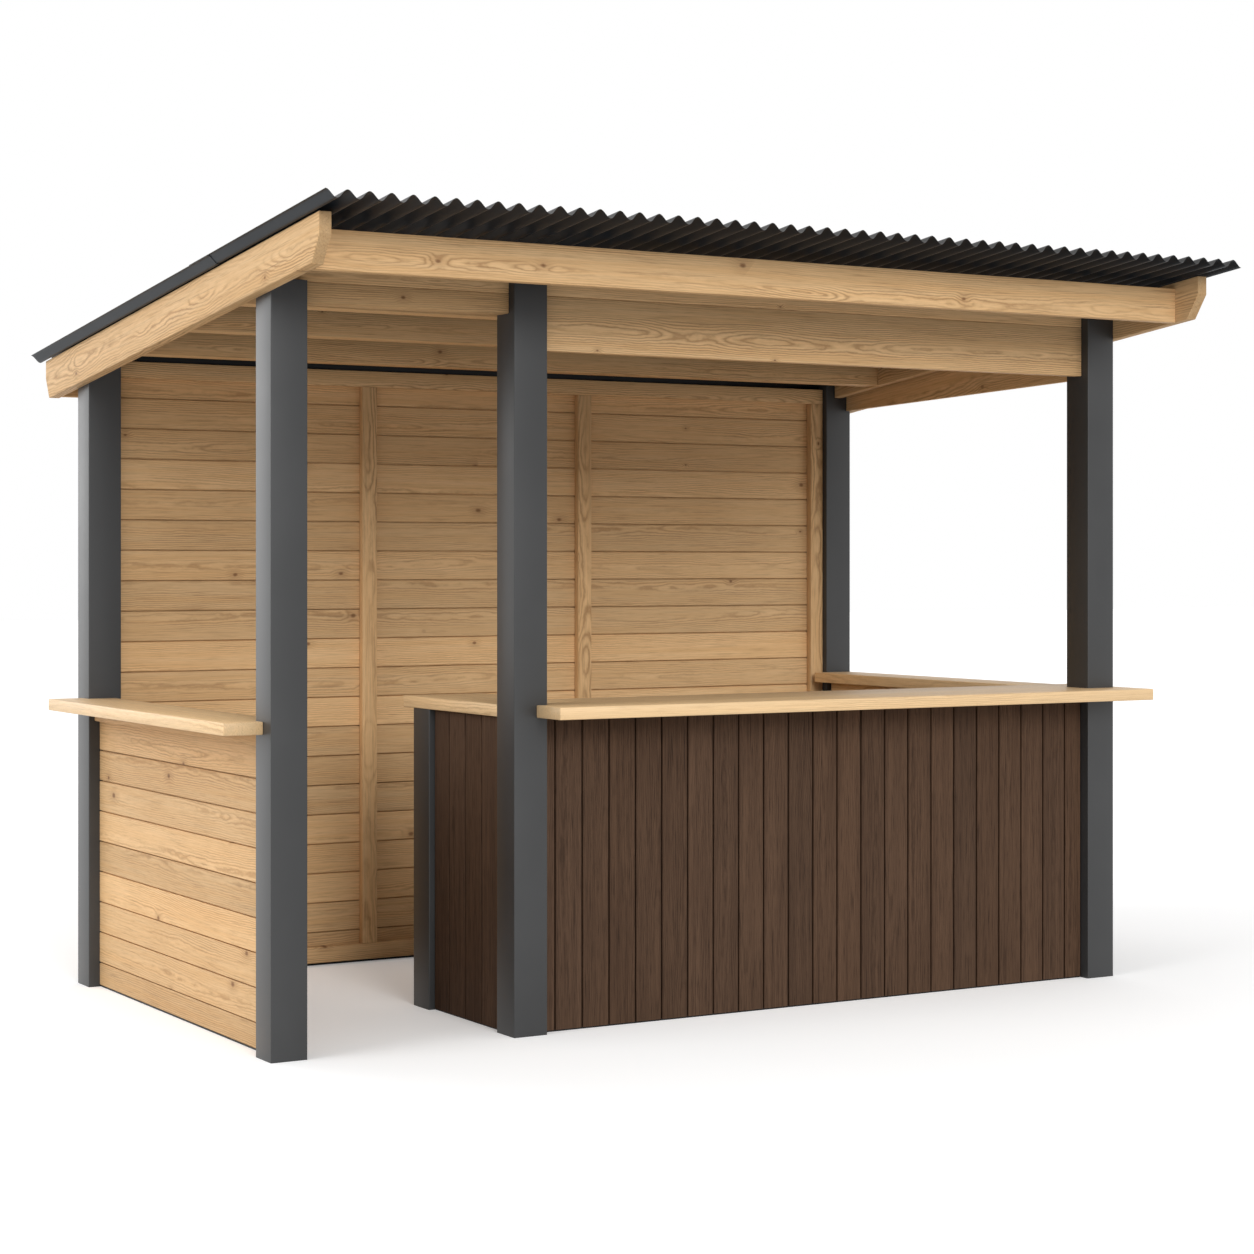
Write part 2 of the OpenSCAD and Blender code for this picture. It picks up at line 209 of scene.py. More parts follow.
def wood_finish(
    name, light, mid, dark, knot, ring=0.0066, rings=0.6, knots=0.42, gloss=0.58, sheen=0.25, stave=0.0, tone=0.1,
    fibres=0.5, flame=2.1, sunk=0.075,
):
    """Sawn and planed wood: growth rings cut flat, fibres, knots, and a tone of its own for each board."""
    material, patch = new_finish(name)
    grain = patch.node("ShaderNodeAttribute", {"attribute_name": "grain"}, output="Vector")
    board = patch.node("ShaderNodeAttribute", {"attribute_name": "board"}, output="Fac")
    end = patch.node("ShaderNodeAttribute", {"attribute_name": "end"}, output="Fac")
    parts = patch.node("ShaderNodeSeparateXYZ", None, {0: grain})
    along, across, deep = parts.out("X"), parts.out("Y"), parts.out("Z")
    if stave:
        strip = (across / stave).sum("FLOOR", across / stave)
        own = patch.node("ShaderNodeTexWhiteNoise", {"noise_dimensions": "1D"}, {"W": strip + board * 50.0})
        board = (board + own).sum("FRACT", board + own)
        across = across - (strip + 0.5) * stave
    along = along + board * 61.0

    # Knots, with the rings pushed round them
    knot_size = 0.22
    uneven = patch.noise(patch.vector(along * 55.0, across * 55.0, board * 13.0), 1.0, 2.0)
    place = patch.vector(along / (knot_size * 1.5), across / knot_size + board * 29.0)
    cell = patch.node("ShaderNodeTexVoronoi", {"voronoi_dimensions": "2D"}, {"Vector": place, "Scale": 1.0})
    chance = patch.node("ShaderNodeSeparateColor", None, {0: cell.out("Color")})
    distance = cell * knot_size + (uneven - 0.5) * 0.006
    radius = 0.0025 + 0.008 * chance.out("Green")
    wanted = patch.ease(chance.out("Red"), 1.0 - knots, 1.0 - knots + 0.02)
    core = patch.ease(distance, radius * 1.3, radius * 0.3) * wanted
    halo = patch.ease(distance, radius * 5.0, radius * 0.6) * wanted

    # Growth rings round a pith that wanders just under the board, which draws narrow flames
    wander = patch.noise(patch.vector(along * 0.8, board * 40.0), 1.0, 1.0)
    sink = patch.noise(patch.vector(along * flame, board * 23.0 + 7.0), 1.0, 2.0, 0.4)
    wobble = patch.noise(patch.vector(along * 2.2, across * 9.0, deep * 9.0), 1.0, 3.0, 0.55)
    ragged = patch.noise(patch.vector(along * 12.0, across * 30.0, deep * 30.0), 1.0, 3.0, 0.6)
    own = (board * 7.0).sum("FRACT", board * 7.0)
    side = across + (wander - 0.5) * 0.09 + (own - 0.5) * 0.13
    pith = 0.002 + sunk * sink - deep
    radial = (side * side + pith * pith) ** 0.5
    phase = (radial + (wobble - 0.5) * 0.012 + (ragged - 0.5) * 0.0095 + halo * 0.008) / ring
    wave = (phase * math.tau).sum("SINE", phase * math.tau)
    late = (0.5 + 0.5 * wave) ** 3.0
    early = (0.5 - 0.5 * wave) ** 3.0
    fade = patch.noise(patch.vector(along * 1.1, across * 16.0, board * 9.0), 1.0, 2.0)
    clear = patch.ease(fade, 0.35, 0.62, 0.1, 1.0) * (1.0 - 0.85 * end)

    # Fibres and long streaks
    fibre = patch.noise(patch.vector(along * 14.0, across * 420.0, deep * 420.0), 1.0, 2.0, 0.6)
    fleck = patch.noise(patch.vector(along * 5.0, across * 170.0, deep * 170.0), 1.0, 3.0, 0.65)
    streak = patch.noise(patch.vector(along * 1.1, across * 42.0, deep * 42.0), 1.0, 4.0, 0.65)
    cloud = patch.noise(patch.vector(along * 2.6, across * 3.0, board * 31.0), 1.0, 2.0)

    base = patch.blend(patch.ease(streak, 0.3, 0.7), colour(light), colour(mid))
    base = patch.blend(patch.ease(cloud, 0.35, 0.75) * 0.4, base, colour(mid))
    base = patch.blend(late * clear * rings, base, colour(dark))
    base = patch.blend(early * clear * rings * 0.5, base, colour([tone * 1.12 for tone in light]))
    base = patch.blend(patch.ease(fibre, 0.45, 0.8) * fibres * 0.6, base, colour(dark))
    base = patch.blend(patch.ease(fleck, 0.54, 0.76) * fibres, base, colour(dark))
    base = patch.blend(halo * 0.3, base, colour(dark))
    base = patch.blend(core * 0.8, base, colour(knot))
    warm = (board * 13.0).sum("FRACT", board * 13.0)
    base = patch.blend(warm * 0.5, base, (1.0, 0.95, 0.88, 1.0), "MULTIPLY")
    level = (1.0 - tone) + own * (2.0 * tone) + (streak - 0.5) * 0.6 + (fleck - 0.5) * -0.35
    level = level * (1.0 - 0.22 * end)
    base = patch.node("ShaderNodeVectorMath", {"operation": "SCALE"}, {0: base, "Scale": level})

    rough = gloss + fibre * 0.16 + late * 0.05
    height = fibre * 0.7 - late * 0.3 - core * 0.4
    close_finish(patch, base, rough, patch.bump(height, 0.0006, 0.6), **{"Specular IOR Level": sheen})
    return material


def coated_metal_finish(name, tone, gloss, dust, sheen, under=None):
    """Powder coated metal: an even satin skin with a fine orange peel and a little dust, and, when a second colour is
    given, a blue-black back coat on the faces that point down, which also paints cool shade onto the underside.
    """
    material, patch = new_finish(name)
    place = patch.node("ShaderNodeTexCoord", output="Object")
    peel = patch.noise(place, 420.0, 1.0)
    patches = patch.noise(place, 2.3, 3.0, 0.6)
    base = patch.blend(patch.ease(patches, 0.35, 0.75) * dust, colour(tone), colour([t * 1.5 + 0.01 for t in tone]))
    if under:
        below = patch.node("ShaderNodeAttribute", {"attribute_name": "below"}, output="Fac")
        # Back coat on the faces that point down, tinted blue-black to paint the cool shade under the roof
        base = patch.blend(below, base, colour(under))
    rough = gloss + (patches - 0.5) * 0.14 + (peel - 0.5) * 0.05
    close_finish(patch, base, rough, patch.bump(peel, 0.0002, 0.35), **{"Specular IOR Level": sheen})
    return material


def fixing_finish(name, tone):
    """Screw heads: plated steel, darker and duller in mottled patches."""
    material, patch = new_finish(name)
    place = patch.node("ShaderNodeTexCoord", output="Object")
    grime = patch.noise(place, 160.0, 2.0)
    base = patch.blend(patch.ease(grime, 0.4, 0.8), colour(tone), colour([t * 0.55 for t in tone]))
    close_finish(patch, base, 0.32 + grime * 0.25, Metallic=0.85)
    return material


FINISHES = {}


def finish(slot):
    """The material of one of the record's slots, made once."""
    if slot not in FINISHES:
        look = bpy.context.scene.garden_bar_colours
        light, mid, dark = look.wood_light, look.wood_mid, look.wood_dark
        if slot == "timber":
            made = wood_finish("Planed timber", light, mid, dark, look.knot)
        elif slot == "wall_boards":
            made = wood_finish(
                "Wall boards", light, mid, dark, look.knot, rings=0.46, knots=0.42, tone=0.155, flame=1.6, sunk=0.045,
            )
        elif slot == "worktop":
            made = wood_finish(
                "Oiled worktop", look.worktop_light, look.worktop_mid, dark, look.knot,
                rings=0.38, knots=0.1, gloss=0.36, sheen=0.45, stave=0.081, tone=0.05, fibres=0.36, flame=1.2, sunk=0.04,
            )
        elif slot == "dark_cladding":
            made = wood_finish(
                "Dark stained cladding", look.stain_light, look.stain_mid, look.stain_dark, look.stain_dark,
                rings=0.3, knots=0.06, gloss=0.62, sheen=0.12, tone=0.12, fibres=0.95, flame=0.9, sunk=0.04,
            )
        elif slot == "post_metal":
            made = coated_metal_finish("Anthracite powder coat", look.post_tone, 0.4, 0.25, 0.5)
        elif slot == "roof_metal":
            made = coated_metal_finish("Black coated steel", look.roof_tone, 0.42, 0.3, 0.2, look.roof_back_coat_and_shade)
        else:
            raise RuntimeError(f"there is no finish for the slot {slot}")
        FINISHES[slot] = made
    return FINISHES[slot]


# Pieces


def settle(mesh, name, slot, nodes, material=None):
    """Put a mesh in the scene as a piece that stands for CAD nodes and rides on the bar."""
    piece = bpy.data.objects.new(name, mesh)
    bpy.context.scene.collection.objects.link(piece)
    mesh.materials.clear()
    mesh.materials.append(material or finish(slot))
    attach(piece, "root")
    if nodes:
        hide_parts(*nodes)
    return piece


def solid_copy(node):
    """A welded copy of a CAD node's mesh with its flat faces whole."""
    shape = bmesh.new()
    shape.from_mesh(CAD_NODES[node].data)
    bmesh.ops.remove_doubles(shape, verts=shape.verts, dist=1e-5)
    bmesh.ops.dissolve_limit(shape, angle_limit=math.radians(0.5), verts=shape.verts, edges=shape.edges)
    return shape


def ease_edges(shape, width, steps=2, chosen=None):
    """Round the sharp edges of a solid."""
    sharp = [e for e in shape.edges if len(e.link_faces) == 2 and e.calc_face_angle(0) > math.radians(8)]
    if chosen:
        sharp = [e for e in sharp if chosen(e)]
    bmesh.ops.bevel(
        shape, geom=sharp, offset=width, segments=steps, profile=0.5, affect="EDGES", clamp_overlap=True
    )


def islands(shape):
    """The separate solids of a mesh, as lists of vertices."""
    left = set(shape.verts)
    found = []
    for start in shape.verts:
        if start not in left:
            continue
        left.discard(start)
        group, queue = [], [start]
        while queue:
            vert = queue.pop()
            group.append(vert)
            for edge in vert.link_edges:
                other = edge.other_vert(vert)
                if other in left:
                    left.discard(other)
                    queue.append(other)
        found.append(group)
    return found


def write_grain(shape, directions, chance):
    """Store places along, across and through each timber, a number for the timber, and which faces are its ends."""
    grain = shape.verts.layers.float_vector.new("grain")
    board = shape.verts.layers.float.new("board")
    end = shape.faces.layers.float.new("end")
    shape.normal_update()
    for group in islands(shape):
        along, across = directions(group)
        through = along.cross(across)
        middle = sum((v.co for v in group), Vector()) / len(group)
        number = chance.random()
        for vert in group:
            place = vert.co - middle
            vert[grain] = (place.dot(along), place.dot(across), place.dot(through))
            vert[board] = number
            for face in vert.link_faces:
                face[end] = float(abs(face.normal.dot(along)) > 0.7)


def box_directions(group):
    """The longest and the middle side of a level or upright timber."""
    sides = []
    for axis in (RIGHT, BACK, UP):
        reach = [v.co.dot(axis) for v in group]
        sides.append((max(reach) - min(reach), axis))
    sides.sort(key=lambda side: side[0])
    return sides[2][1], sides[1][1]


def to_mesh(shape, name, smooth_below=35.0):
    """Turn a bmesh into a mesh that is smooth except at its sharp edges."""
    mesh = bpy.data.meshes.new(name)
    shape.to_mesh(mesh)
    shape.free()
    mesh.shade_smooth()
    mesh.set_sharp_from_angle(angle=math.radians(smooth_below))
    return mesh


def timber(node, name, slot, ease, directions=box_directions):
    """A CAD timber with eased edges and its grain."""
    shape = solid_copy(node)
    ease_edges(shape, ease)
    write_grain(shape, directions, random.Random(node))
    return settle(to_mesh(shape, name), name, slot, [node])


# Shapes grown by Geometry Nodes


def new_tree(name, inputs):
    """A geometry tree with named inputs after its geometry."""
    tree = bpy.data.node_groups.new(name, "GeometryNodeTree")
    tree.interface.new_socket("Geometry", in_out="INPUT", socket_type="NodeSocketGeometry")
    tree.interface.new_socket("Geometry", in_out="OUTPUT", socket_type="NodeSocketGeometry")
    kinds = {"int": "NodeSocketInt", "float": "NodeSocketFloat", "material": "NodeSocketMaterial"}
    for label, kind in inputs:
        tree.interface.new_socket(label, in_out="INPUT", socket_type=kinds[kind])
    patch = Patch(tree)
    return tree, patch, patch.node("NodeGroupInput")


def close_tree(patch, shape, material):
    """Make the instances real, give them their material and end the tree."""
    real = patch.node("GeometryNodeRealizeInstances", None, {0: shape})
    coated = patch.node("GeometryNodeSetMaterial", None, {"Geometry": real, "Material": material})
    patch.node("NodeGroupOutput", None, {0: coated})


def push_out(patch, face, offset):
    """A closed solid from a face that is pushed along an offset."""
    settings = {"mode": "FACES"}
    values = {"Mesh": face, "Offset": offset, "Offset Scale": 1.0, "Individual": False}
    pushed = patch.node("GeometryNodeExtrudeMesh", settings, values)
    flipped = patch.node("GeometryNodeFlipFaces", None, {0: face})
    both = patch.node("GeometryNodeJoinGeometry")
    for part in (pushed, flipped):
        patch.tree.links.new(part.socket, both.node.inputs[0])
    return patch.node("GeometryNodeMergeByDistance", None, {"Geometry": both, "Distance": 1e-5})


def board_tree():
    """A section pushed out to a board, and the board repeated side by side."""
    inputs = (
        ("Length", "float"), ("Count", "int"), ("Pitch", "float"), ("Unevenness", "float"), ("Seed", "int"),
        ("Material", "material"),
    )
    tree, patch, given = new_tree("Board run", inputs)
    board = push_out(patch, given, patch.vector(given.out("Length")))
    place = patch.node("GeometryNodeInputPosition")
    settings = {"data_type": "FLOAT_VECTOR", "domain": "POINT"}
    board = patch.node("GeometryNodeStoreNamedAttribute", settings, {"Geometry": board, "Name": "grain", "Value": place})
    line = patch.node(
        "GeometryNodeMeshLine", None, {"Count": given.out("Count"), "Offset": patch.vector(0.0, given.out("Pitch"))}
    )
    row = patch.node("GeometryNodeInstanceOnPoints", None, {"Points": line, "Instance": board})
    depth = patch.node(
        "FunctionNodeRandomValue", {"data_type": "FLOAT"},
        {2: 0.0, 3: given.out("Unevenness"), "Seed": given.out("Seed")}, 1,
    )
    row = patch.node("GeometryNodeTranslateInstances", None, {0: row, "Translation": patch.vector(0.0, 0.0, -depth)})
    number = patch.node(
        "FunctionNodeRandomValue", {"data_type": "FLOAT"}, {2: 0.0, 3: 1.0, "Seed": given.out("Seed") + 7.0}, 1
    )
    settings = {"data_type": "FLOAT", "domain": "INSTANCE"}
    row = patch.node("GeometryNodeStoreNamedAttribute", settings, {"Geometry": row, "Name": "board", "Value": number})
    close_tree(patch, row, given.out("Material"))
    return tree


def sheet_tree():
    """A flat grid bent into corrugations and given its thickness."""
    inputs = (
        ("Width", "float"), ("Length", "float"), ("Columns", "int"), ("Pitch", "float"), ("Height", "float"),
        ("Thickness", "float"), ("Material", "material"),
    )
    tree, patch, given = new_tree("Corrugated sheet", inputs)
    values = {
        "Size X": given.out("Width"), "Size Y": given.out("Length"), "Vertices X": given.out("Columns"), "Vertices Y": 9,
    }
    grid = patch.node("GeometryNodeMeshGrid", None, values)
    place = patch.node("ShaderNodeSeparateXYZ", None, {0: patch.node("GeometryNodeInputPosition")})
    x = place.out("X") + given.out("Width") * 0.5
    turn = x / given.out("Pitch") * math.tau
    lift = given.out("Height") * 0.5 * (1.0 + turn.sum("COSINE", turn))
    shift = patch.vector(given.out("Width") * 0.5, given.out("Length") * 0.5, lift)
    bent = patch.node("GeometryNodeSetPosition", None, {"Geometry": grid, "Offset": shift})
    sheet = push_out(patch, bent, patch.vector(0.0, 0.0, given.out("Thickness")))
    # Mark the faces that point down; they take the back coat, whose tint paints cool shade under the roof
    facing = patch.node("ShaderNodeSeparateXYZ", None, {0: patch.node("GeometryNodeInputNormal")})
    below = patch.ease(facing.out("Z"), 0.0, -0.1)
    settings = {"data_type": "FLOAT", "domain": "FACE"}
    values = {"Geometry": sheet, "Name": "below", "Value": below}
    sheet = patch.node("GeometryNodeStoreNamedAttribute", settings, values)
    close_tree(patch, sheet, given.out("Material"))
    return tree


def screw_tree():
    """One roofing screw repeated along a row of crests."""
    inputs = (("Count", "int"), ("Pitch", "float"), ("Seed", "int"), ("Material", "material"))
    tree, patch, given = new_tree("Roof screws", inputs)
    line = patch.node(
        "GeometryNodeMeshLine", None, {"Count": given.out("Count"), "Offset": patch.vector(given.out("Pitch"))}
    )
    turn = patch.node(
        "FunctionNodeRandomValue", {"data_type": "FLOAT"}, {2: 0.0, 3: math.tau, "Seed": given.out("Seed")}, 1
    )
    values = {"Points": line, "Instance": given, "Rotation": patch.vector(0.0, 0.0, turn)}
    row = patch.node("GeometryNodeInstanceOnPoints", None, values)
    close_tree(patch, row, given.out("Material"))
    return tree


TREES = {}


def grow(kind, base, inputs):
    """Run a geometry tree on a base mesh and return the plain mesh that it makes."""
    makers = {"boards": board_tree, "sheet": sheet_tree, "screws": screw_tree}
    if kind not in TREES:
        TREES[kind] = makers[kind]()
    tree = TREES[kind]
    carrier = bpy.data.objects.new("carrier", base)
    bpy.context.scene.collection.objects.link(carrier)
    modifier = carrier.modifiers.new("grown", "NODES")
    modifier.node_group = tree
    for socket in tree.interface.items_tree:
        if socket.item_type == "SOCKET" and socket.in_out == "INPUT" and socket.name in inputs:
            modifier[socket.identifier] = inputs[socket.name]
    graph = bpy.context.evaluated_depsgraph_get()
    mesh = bpy.data.meshes.new_from_object(carrier.evaluated_get(graph))
    bpy.data.objects.remove(carrier)
    return mesh


def place_mesh(mesh, origin, along, across):
    """Turn a mesh's X and Y to two directions and move it to its place."""
    outward = along.cross(across)
    turn = Matrix((along, across, outward)).transposed().to_4x4()
    mesh.transform(Matrix.Translation(origin) @ turn)
    return mesh


def join_meshes(meshes, name):
    """One mesh from several, with their attributes."""
    shape = bmesh.new()
    for mesh in meshes:
        shape.from_mesh(mesh)
    return to_mesh(shape, name)


def turned(shape, profile, sides):
    """A closed turned solid from (radius, height) pairs, from the bottom up."""
    rings = []
    for radius, height in profile:
        turns = [math.tau * i / sides for i in range(sides)]
        rings.append([shape.verts.new((radius * math.cos(t), radius * math.sin(t), height)) for t in turns])
    for lower, upper in zip(rings, rings[1:]):
        for i in range(sides):
            j = (i + 1) % sides
            shape.faces.new((lower[i], lower[j], upper[j], upper[i]))
    shape.faces.new(list(reversed(rings[0])))
    shape.faces.new(rings[-1])


def roofing_screw():
    """A hexagon head on a domed washer, seated a little below Z 0."""
    shape = bmesh.new()
    turned(shape, ((0.0074, -0.0022), (0.0078, -0.0012), (0.0066, 0.0004), (0.0048, 0.0012)), 14)
    turned(shape, ((0.0046, 0.0010), (0.0046, 0.0048), (0.0039, 0.0056)), 6)
    mesh = bpy.data.meshes.new("roofing screw")
    shape.to_mesh(mesh)
    shape.free()
    return mesh


def board_section(width, thickness, ease, tongue):
    """The outline of a matched board as one face: eased corners, a groove, and a tongue if another board follows."""
    half = width / 2
    lip = tongue
    outline = [(-half + ease, -thickness), (half - ease, -thickness), (half, -thickness + ease)]
    if lip:
        outline += [
            (half, -0.80 * thickness), (half + lip, -0.78 * thickness),
            (half + lip, -0.60 * thickness), (half, -0.58 * thickness),
        ]
    outline += [(half, -ease), (half - ease, 0.0), (-half + ease, 0.0), (-half, -ease)]
    groove = 0.007
    outline += [
        (-half, -0.54 * thickness), (-half + groove, -0.54 * thickness),
        (-half + groove, -0.84 * thickness), (-half, -0.84 * thickness), (-half, -thickness + ease),
    ]
    mesh = bpy.data.meshes.new("board section")
    mesh.from_pydata([(0.0, y, z) for y, z in outline], [], [list(range(len(outline)))])
    mesh.update()
    return mesh


def board_wall(name, slot, node, origin, along, across, seams, length, seed, gap):
    """A wall of matched boards between the seams, which are places measured across from the origin."""
    sizes = bpy.context.scene.garden_bar_sizes
    low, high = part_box(node)
    thickness = min(high - low)
    runs = []
    for start, end in zip(seams, seams[1:]):
        if runs and abs((end - start) - runs[-1][1]) < 1e-4:
            runs[-1][2] += 1
        else:
            runs.append([start, end - start, 1])
    meshes = []
    for index, (start, pitch, count) in enumerate(runs):
        final = index == len(runs) - 1
        groups = [(0, count - 1, True), (count - 1, 1, False)] if final else [(0, count, True)]
        for first, number, tongued in groups:
            if number < 1:
                continue
            width = pitch - gap
            tongue = gap + 0.005 if tongued else 0.0
            section = board_section(width, thickness - sizes.unevenness, sizes.board_ease, tongue)
            mesh = grow("boards", section, {
                "Length": length, "Count": number, "Pitch": pitch, "Unevenness": sizes.unevenness,
                "Seed": seed + 31 * index + first, "Material": finish(slot),
            })
            shift = across * (start + pitch * (first + 0.5))
            meshes.append(place_mesh(mesh, origin + shift, along, across))
    return settle(join_meshes(meshes, name), name, slot, [node])


def even_seams(start, pitch, end):
    """Seams a pitch apart from a start, with cut boards at both ends of 0 to end."""
    seams = [0.0]
    place = start
    while place < end - 0.004:
        if place > 0.004:
            seams.append(place)
        place += pitch
    seams.append(end)
    return seams


# What a user would change


class GardenBarSizes(bpy.types.PropertyGroup):
    """Sizes of what is laid over the frame."""

    board_gap: bpy.props.FloatProperty(
        name="Board gap", description="Open joint between two boards", default=0.0038, min=0.001, max=0.008,
        subtype="DISTANCE", unit="LENGTH",
    )
    cladding_gap: bpy.props.FloatProperty(
        name="Cladding gap", description="Open joint between two boards of the cladding", default=0.006, min=0.001,
        max=0.01, subtype="DISTANCE", unit="LENGTH",
    )
    board_ease: bpy.props.FloatProperty(
        name="Board edge", description="Chamfer along a board's edges", default=0.0018, min=0.0005, max=0.005,
        subtype="DISTANCE", unit="LENGTH",
    )
    unevenness: bpy.props.FloatProperty(
        name="Unevenness", description="How far a board may sit back from its neighbours", default=0.0008,
        min=0.0, max=0.003, subtype="DISTANCE", unit="LENGTH",
    )
    back_board_pitch: bpy.props.FloatProperty(
        name="Back wall boards", description="Width that a board of the back wall covers", default=0.1105,
        min=0.08, max=0.2, subtype="DISTANCE", unit="LENGTH",
    )
    left_board_pitch: bpy.props.FloatProperty(
        name="Left wall boards", description="Width that a board of the left wall covers", default=0.1083,
        min=0.08, max=0.2, subtype="DISTANCE", unit="LENGTH",
    )
    cladding_pitch: bpy.props.FloatProperty(
        name="Cladding boards", description="Width that a board of the bar's cladding covers", default=0.10093,
        min=0.06, max=0.2, subtype="DISTANCE", unit="LENGTH",
    )
    return_pitch: bpy.props.FloatProperty(
        name="Return boards", description="Width that a board of the bar's short return covers", default=0.118,
        min=0.06, max=0.2, subtype="DISTANCE", unit="LENGTH",
    )
    # Setback of the black base strips that paint the shadow line under the walls
    strip_setback: bpy.props.FloatProperty(
        name="Strip setback", description="How far the strip under a wall sits back from the boards", default=0.004,
        min=0.0, max=0.01, subtype="DISTANCE", unit="LENGTH",
    )
    timber_ease: bpy.props.FloatProperty(
        name="Timber edge", description="Rounding of a timber's edges", default=0.0025, min=0.0005, max=0.006,
        subtype="DISTANCE", unit="LENGTH",
    )
    worktop_ease: bpy.props.FloatProperty(
        name="Worktop edge", description="Rounding of a worktop's edges", default=0.003, min=0.0005, max=0.01,
        subtype="DISTANCE", unit="LENGTH",
    )
    post_ease: bpy.props.FloatProperty(
        name="Post corner", description="Rounding of a post's corners", default=0.0028, min=0.001, max=0.01,
        subtype="DISTANCE", unit="LENGTH",
    )
    wave_pitch: bpy.props.FloatProperty(
        name="Corrugation", description="Width of one corrugation", default=0.0687, min=0.04, max=0.15,
        subtype="DISTANCE", unit="LENGTH",
    )
    wave_height: bpy.props.FloatProperty(
        name="Corrugation height", description="Height of one corrugation", default=0.026, min=0.01, max=0.05,
        subtype="DISTANCE", unit="LENGTH",
    )
    sheet_thickness: bpy.props.FloatProperty(
        name="Sheet thickness", description="Thickness of the roof's sheet metal", default=0.0008, min=0.0004,
        max=0.002, subtype="DISTANCE", unit="LENGTH",
    )
    roof_pitch: bpy.props.FloatProperty(
        name="Roof pitch", description="Fall of the roof towards the back", default=math.radians(6.2),
        min=0.0, max=math.radians(20), subtype="ANGLE",
    )


class GardenBarColours(bpy.types.PropertyGroup):
    """Colours of the finishes."""

    wood_light: bpy.props.FloatVectorProperty(
        name="Light wood", description="Early wood of the timbers and wall boards", subtype="COLOR",
        default=(0.785, 0.528, 0.280), min=0.0, max=1.0,
    )
    wood_mid: bpy.props.FloatVectorProperty(
        name="Mid wood", description="Streaks in the timbers and wall boards", subtype="COLOR",
        default=(0.605, 0.380, 0.182), min=0.0, max=1.0,
    )
    wood_dark: bpy.props.FloatVectorProperty(
        name="Dark wood", description="Late wood and fibres", subtype="COLOR",
        default=(0.315, 0.162, 0.066), min=0.0, max=1.0,
    )
    knot: bpy.props.FloatVectorProperty(
        name="Knots", description="Heart of a knot", subtype="COLOR",
        default=(0.16, 0.066, 0.026), min=0.0, max=1.0,
    )
    worktop_light: bpy.props.FloatVectorProperty(
        name="Light worktop", description="Early wood of the worktops", subtype="COLOR",
        default=(0.81, 0.58, 0.325), min=0.0, max=1.0,
    )
    worktop_mid: bpy.props.FloatVectorProperty(
        name="Mid worktop", description="Streaks in the worktops", subtype="COLOR",
        default=(0.74, 0.51, 0.272), min=0.0, max=1.0,
    )
    stain_light: bpy.props.FloatVectorProperty(
        name="Light stain", description="Lightest fibres of the dark cladding", subtype="COLOR",
        default=(0.114, 0.065, 0.0395), min=0.0, max=1.0,
    )
    stain_mid: bpy.props.FloatVectorProperty(
        name="Mid stain", description="Body of the dark cladding", subtype="COLOR",
        default=(0.063, 0.035, 0.0212), min=0.0, max=1.0,
    )
    stain_dark: bpy.props.FloatVectorProperty(
        name="Dark stain", description="Darkest fibres of the dark cladding", subtype="COLOR",
        default=(0.015, 0.008, 0.005), min=0.0, max=1.0,
    )
    post_tone: bpy.props.FloatVectorProperty(
        name="Posts", description="Powder coat of the posts", subtype="COLOR",
        default=(0.0268, 0.0276, 0.0284), min=0.0, max=1.0,
    )
    roof_tone: bpy.props.FloatVectorProperty(
        name="Roof", description="Coating of the roof sheets", subtype="COLOR",
        default=(0.0085, 0.0085, 0.0087), min=0.0, max=1.0,
    )
    # Back coat of the roof sheets, tinted blue-black so that it also paints the cool shade under the roof
    roof_back_coat_and_shade: bpy.props.FloatVectorProperty(
        name="Roof underside", description="Back coat of the roof sheets", subtype="COLOR",
        default=(0.0060, 0.0102, 0.0152), min=0.0, max=1.0,
    )


class GardenBarStage(bpy.types.PropertyGroup):
    """The floor, the light and the camera."""

    camera_place: bpy.props.FloatVectorProperty(
        name="Camera", description="Where the camera stands", subtype="TRANSLATION",
        default=(-4.72838, -8.10707, 1.5081),
    )
    camera_turn: bpy.props.FloatProperty(
        name="Camera turn", description="How far the camera looks to the right", subtype="ANGLE",
        default=math.radians(30.5702),
    )
    lens: bpy.props.FloatProperty(
        name="Lens", description="Focal length on a 36 mm sensor, in millimetres", default=75.24, min=20.0, max=200.0,
    )
    shift: bpy.props.FloatVectorProperty(
        name="Shift", description="Shift of the picture, right and up", size=2, default=(-0.0009, -0.0497),
    )
    ambient: bpy.props.FloatProperty(
        name="Ambient light", description="Strength of the even light from all round", default=0.7, min=0.0, max=3.0,
    )
    front: bpy.props.FloatProperty(
        name="Front light", description="Strength of the low light from the front", default=1.49, min=0.0, max=20.0,
    )
    side: bpy.props.FloatProperty(
        name="Side light", description="Strength of the light from the left", default=1.25, min=0.0, max=20.0,
    )
    rim: bpy.props.FloatProperty(
        name="Rim light", description="Strength of the light from behind on the left", default=0.76, min=0.0, max=20.0,
    )
    floor_tone: bpy.props.FloatVectorProperty(
        name="Floor", description="Colour of the pale floor", subtype="COLOR",
        default=(0.60, 0.60, 0.60), min=0.0, max=1.0,
    )


# Operators


class GARDENBAR_OT_posts(bpy.types.Operator):
    """Square posts with rounded corners"""

    bl_idname = "garden_bar.posts"
    bl_label = "Posts"

    def execute(self, context):
        ease = context.scene.garden_bar_sizes.post_ease
        for node in POSTS:
            shape = solid_copy(node)
            low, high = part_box(node)
            middle = (low + high) / 2
            reach = (high.x - low.x) / 2 - 0.001

            def outer_corner(edge):
                upright = all(abs((v.co - w.co).z) > 0.1 for v, w in [edge.verts])
                return upright and all(
                    abs(v.co.x - middle.x) > reach and abs(v.co.y - middle.y) > reach for v in edge.verts
                )

            ease_edges(shape, ease, 4, outer_corner)
            settle(to_mesh(shape, node + "_tube"), node + "_tube", "post_metal", [node])
        return {"FINISHED"}


